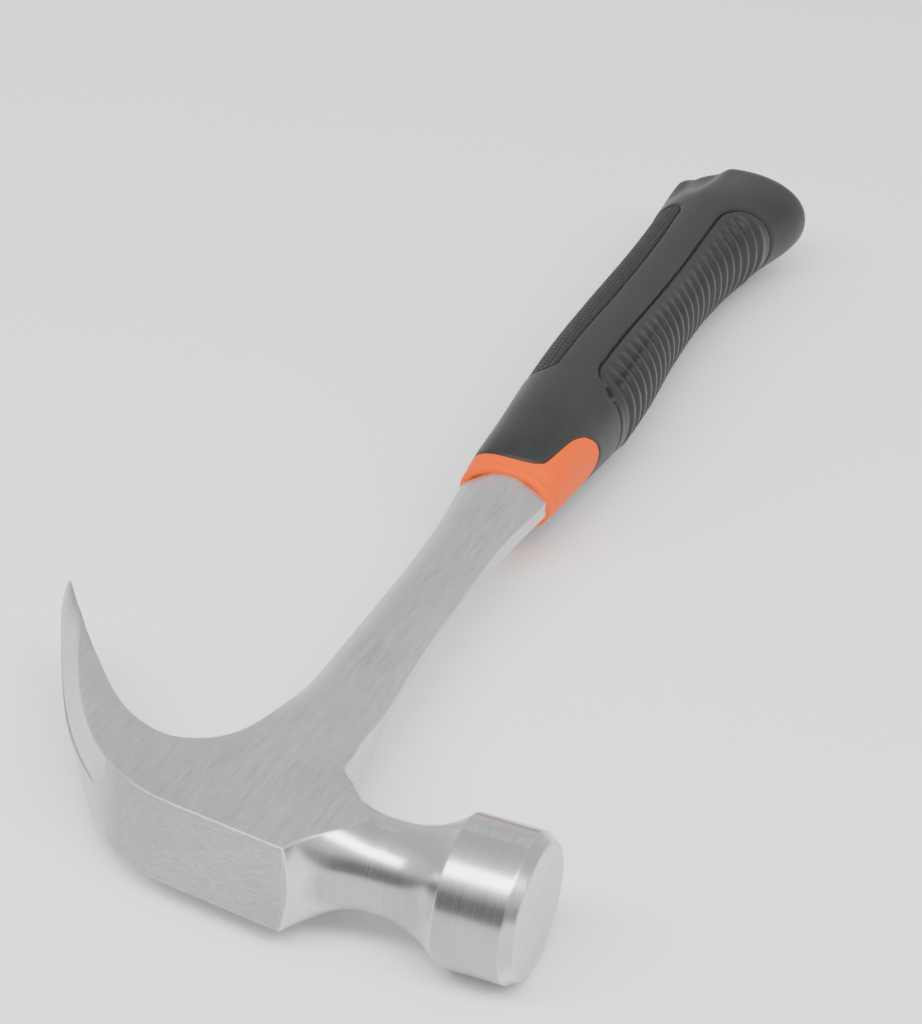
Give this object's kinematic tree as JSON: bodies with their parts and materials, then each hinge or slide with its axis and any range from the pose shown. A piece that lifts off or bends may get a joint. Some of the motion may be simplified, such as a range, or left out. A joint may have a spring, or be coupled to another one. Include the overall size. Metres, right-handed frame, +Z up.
{
  "type": "claw hammer",
  "caption": "One-piece forged claw hammer with a turned bell, curved nail-pulling claws, an oval shank and a moulded two-colour soft grip.",
  "frame": {"origin": "middle of the bottom of the bounding box; the hammer lies on its side, on the rim of the bell", "axes": "+X is the way the striking face looks, +Y runs along the handle to the butt, +Z is up, across the thickness of the head"},
  "size_m": [0.1324, 0.3392, 0.031],
  "materials": {
    "satin_steel": "satin ground and brushed, polished in the turned neck and bell",
    "orange_plastic": "smooth semi-gloss moulded plastic",
    "grey_rubber": "satin soft-touch moulded rubber",
    "dark_rubber": "matt rubber with a fine diamond texture",
    "ribbed_rubber": "satin rubber with raised cross ribs"
  },
  "bodies": {
    "root": {"forged_steel_body": "satin_steel", "grip_sleeve": "orange_plastic", "grip_cover": "grey_rubber", "grip_back_inlay": "dark_rubber", "grip_belly_pad": "ribbed_rubber"}
  },
  "joints": []
}
